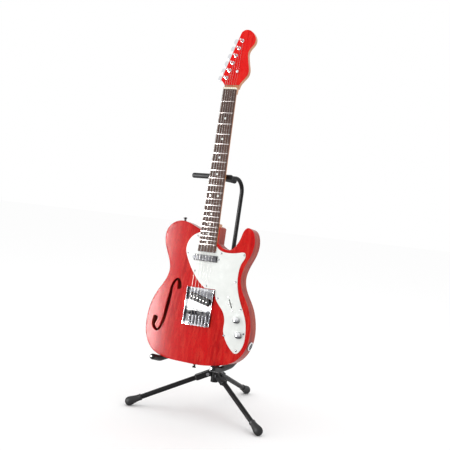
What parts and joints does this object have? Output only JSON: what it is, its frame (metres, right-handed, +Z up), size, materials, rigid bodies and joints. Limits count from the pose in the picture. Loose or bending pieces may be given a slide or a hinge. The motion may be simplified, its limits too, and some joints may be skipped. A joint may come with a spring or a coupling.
{
  "type": "guitar on stand",
  "caption": "Semi-hollow single-cut electric guitar leaning on a folding tripod stand with padded cradle arms and an adjustable neck rest.",
  "frame": {"origin": "on the floor, at the middle of the footprint: midway between the cradle tips and the rear foot, on the middle plane of the stand", "axes": "+Z up; -Y the way the guitar faces; +X the guitar's treble side"},
  "size_m": [0.4552, 0.4924, 1.1464],
  "materials": {
    "stand_steel": "satin black enamel",
    "stand_rubber": "matt black",
    "clamp_plastic": "moulded black",
    "pin_steel": "zinc plated",
    "body_wood": "transparent cherry red over grain, glossy",
    "top_wood": "transparent cherry red over grain, glossy",
    "head_wood": "transparent cherry red, glossy",
    "neck_wood": "clear satin",
    "board_wood": "open grain, oiled",
    "rod_steel": "plain",
    "pearl_plastic": "pearly",
    "nut_plastic": "polished cream",
    "fret_steel": "polished crowns",
    "guard_plastic": "pearly white with cream bevel",
    "bright_metal": "plated",
    "screw_steel": "nickel",
    "string_steel": "plain and wound",
    "pickup_plastic": "black",
    "button_black": "black",
    "frame_steel": "plain",
    "switch_plastic": "black"
  },
  "bodies": {
    "stand": {"hub": "stand_steel", "leg_pins": "pin_steel", "lower_post": "stand_steel", "height_collar": "stand_steel", "cradle_yoke": "stand_steel", "cradle_sleeves": "stand_rubber"},
    "leg_left": {"leg_left": "stand_steel", "foot_left": "stand_rubber"},
    "leg_right": {"leg_right": "stand_steel", "foot_right": "stand_rubber"},
    "leg_back": {"leg_back": "stand_steel", "foot_back": "stand_rubber"},
    "upper": {"upper_post": "stand_steel", "neck_rest_sleeve": "stand_rubber"},
    "clamp": {"clamp_screw": "clamp_plastic"},
    "tuner_post_1": {"tuner_post_1": "bright_metal"},
    "tuner_button_1": {"tuner_button_1": "bright_metal"},
    "tuner_post_2": {"tuner_post_2": "bright_metal"},
    "tuner_button_2": {"tuner_button_2": "bright_metal"},
    "tuner_post_3": {"tuner_post_3": "bright_metal"},
    "tuner_button_3": {"tuner_button_3": "bright_metal"},
    "tuner_post_4": {"tuner_post_4": "bright_metal"},
    "tuner_button_4": {"tuner_button_4": "bright_metal"},
    "tuner_post_5": {"tuner_post_5": "bright_metal"},
    "tuner_button_5": {"tuner_button_5": "bright_metal"},
    "tuner_post_6": {"tuner_post_6": "bright_metal"},
    "tuner_button_6": {"tuner_button_6": "bright_metal"},
    "volume_knob": {"volume_knob": "bright_metal"},
    "tone_knob": {"tone_knob": "bright_metal"},
    "switch_lever": {"switch_lever": "switch_plastic"},
    "guitar": {"body_back": "body_wood", "body_top": "top_wood", "headstock_facing": "head_wood", "neck": "neck_wood", "fingerboard": "board_wood", "truss_rod": "rod_steel", "inlay_dots": "pearl_plastic", "nut": "nut_plastic", "frets": "fret_steel", "pickguard": "guard_plastic", "neck_pickup_cover": "bright_metal", "bridge_plate": "bright_metal", "saddles": "bright_metal", "tuner_housings": "bright_metal", "neck_plate": "bright_metal", "jack_cup": "bright_metal", "jack_socket": "bright_metal", "string_guide": "bright_metal", "string_ferrules": "bright_metal", "pickguard_screws": "screw_steel", "bridge_screws": "screw_steel", "intonation_screws": "screw_steel", "neck_screws": "screw_steel", "saddle_springs": "screw_steel", "strings": "string_steel", "neck_pickup_coil": "pickup_plastic", "bridge_pickup": "pickup_plastic", "strap_buttons": "button_black", "switch_frame": "frame_steel", "pot_housings": "frame_steel"}
  },
  "joints": [
    {"name": "leg_left_fold", "type": "hinge", "parent": "stand", "child": "leg_left", "pos_m": [-0.01951, -0.03194, 0.112], "axis": [0.5299, -0.848, 0], "range_deg": [0, 62]},
    {"name": "leg_right_fold", "type": "hinge", "parent": "stand", "child": "leg_right", "pos_m": [0.01951, -0.03194, 0.112], "axis": [0.5299, 0.848, 0], "range_deg": [0, 62]},
    {"name": "leg_back_fold", "type": "hinge", "parent": "stand", "child": "leg_back", "pos_m": [0, 0.00325, 0.112], "axis": [-1, 0, 0], "range_deg": [0, 62]},
    {"name": "post_slide", "type": "slide", "parent": "stand", "child": "upper", "axis": [0, 0.14, 0.9902], "range_m": [-0.09, 0.12]},
    {"name": "clamp_turn", "type": "hinge", "parent": "stand", "child": "clamp", "pos_m": [0, 0.03149, 0.42593], "axis": [0, 0.9902, -0.14], "range_deg": [0, 360]},
    {"name": "guitar_lift", "type": "slide", "parent": "stand", "child": "guitar", "axis": [0, 0.14, 0.9902], "range_m": [0, 0.06]},
    {"name": "tuner_button_1_turn", "type": "hinge", "parent": "guitar", "child": "tuner_button_1", "pos_m": [-0.02822, -0.07018, 0.99818], "axis": [-0.9566, 0.0426, 0.2884], "continuous": true},
    {"name": "tuner_post_1_turn", "type": "hinge", "parent": "guitar", "child": "tuner_post_1", "pos_m": [-0.01368, -0.09173, 1.0028], "axis": [0, -0.9893, 0.1461], "continuous": true},
    {"name": "tuner_button_2_turn", "type": "hinge", "parent": "guitar", "child": "tuner_button_2", "pos_m": [-0.0214, -0.06691, 1.02033], "axis": [-0.9566, 0.0426, 0.2884], "continuous": true},
    {"name": "tuner_post_2_turn", "type": "hinge", "parent": "guitar", "child": "tuner_post_2", "pos_m": [-0.00686, -0.08847, 1.02495], "axis": [0, -0.9893, 0.1461], "continuous": true},
    {"name": "tuner_button_3_turn", "type": "hinge", "parent": "guitar", "child": "tuner_button_3", "pos_m": [-0.01458, -0.06364, 1.04247], "axis": [-0.9566, 0.0426, 0.2884], "continuous": true},
    {"name": "tuner_post_3_turn", "type": "hinge", "parent": "guitar", "child": "tuner_post_3", "pos_m": [-0.00003, -0.0852, 1.04709], "axis": [0, -0.9893, 0.1461], "continuous": true},
    {"name": "tuner_button_4_turn", "type": "hinge", "parent": "guitar", "child": "tuner_button_4", "pos_m": [-0.00776, -0.06037, 1.06461], "axis": [-0.9566, 0.0426, 0.2884], "continuous": true},
    {"name": "tuner_post_4_turn", "type": "hinge", "parent": "guitar", "child": "tuner_post_4", "pos_m": [0.00679, -0.08192, 1.06923], "axis": [0, -0.9893, 0.1461], "continuous": true},
    {"name": "tuner_button_5_turn", "type": "hinge", "parent": "guitar", "child": "tuner_button_5", "pos_m": [-0.00094, -0.0571, 1.08676], "axis": [-0.9566, 0.0426, 0.2884], "continuous": true},
    {"name": "tuner_post_5_turn", "type": "hinge", "parent": "guitar", "child": "tuner_post_5", "pos_m": [0.01361, -0.07866, 1.09138], "axis": [0, -0.9893, 0.1461], "continuous": true},
    {"name": "tuner_button_6_turn", "type": "hinge", "parent": "guitar", "child": "tuner_button_6", "pos_m": [0.00588, -0.05383, 1.1089], "axis": [-0.9566, 0.0426, 0.2884], "continuous": true},
    {"name": "tuner_post_6_turn", "type": "hinge", "parent": "guitar", "child": "tuner_post_6", "pos_m": [0.02043, -0.07538, 1.11352], "axis": [0, -0.9893, 0.1461], "continuous": true},
    {"name": "volume_turn", "type": "hinge", "parent": "guitar", "child": "volume_knob", "pos_m": [0.13807, -0.19497, 0.31955], "axis": [0, -0.9893, 0.1461], "range_deg": [-135, 135]},
    {"name": "tone_turn", "type": "hinge", "parent": "guitar", "child": "tone_knob", "pos_m": [0.15092, -0.20087, 0.27959], "axis": [0, -0.9893, 0.1461], "range_deg": [-135, 135]},
    {"name": "switch_tilt", "type": "hinge", "parent": "guitar", "child": "switch_lever", "pos_m": [0.1102, -0.17068, 0.35868], "axis": [0.897, 0.0646, 0.4372], "range_deg": [-25, 25]}
  ],
  "couplings": [
    {"joint": "tuner_post_1_turn", "follows": "tuner_button_1_turn", "ratio": 0.071429},
    {"joint": "tuner_post_2_turn", "follows": "tuner_button_2_turn", "ratio": 0.071429},
    {"joint": "tuner_post_3_turn", "follows": "tuner_button_3_turn", "ratio": 0.071429},
    {"joint": "tuner_post_4_turn", "follows": "tuner_button_4_turn", "ratio": 0.071429},
    {"joint": "tuner_post_5_turn", "follows": "tuner_button_5_turn", "ratio": 0.071429},
    {"joint": "tuner_post_6_turn", "follows": "tuner_button_6_turn", "ratio": 0.071429}
  ]
}
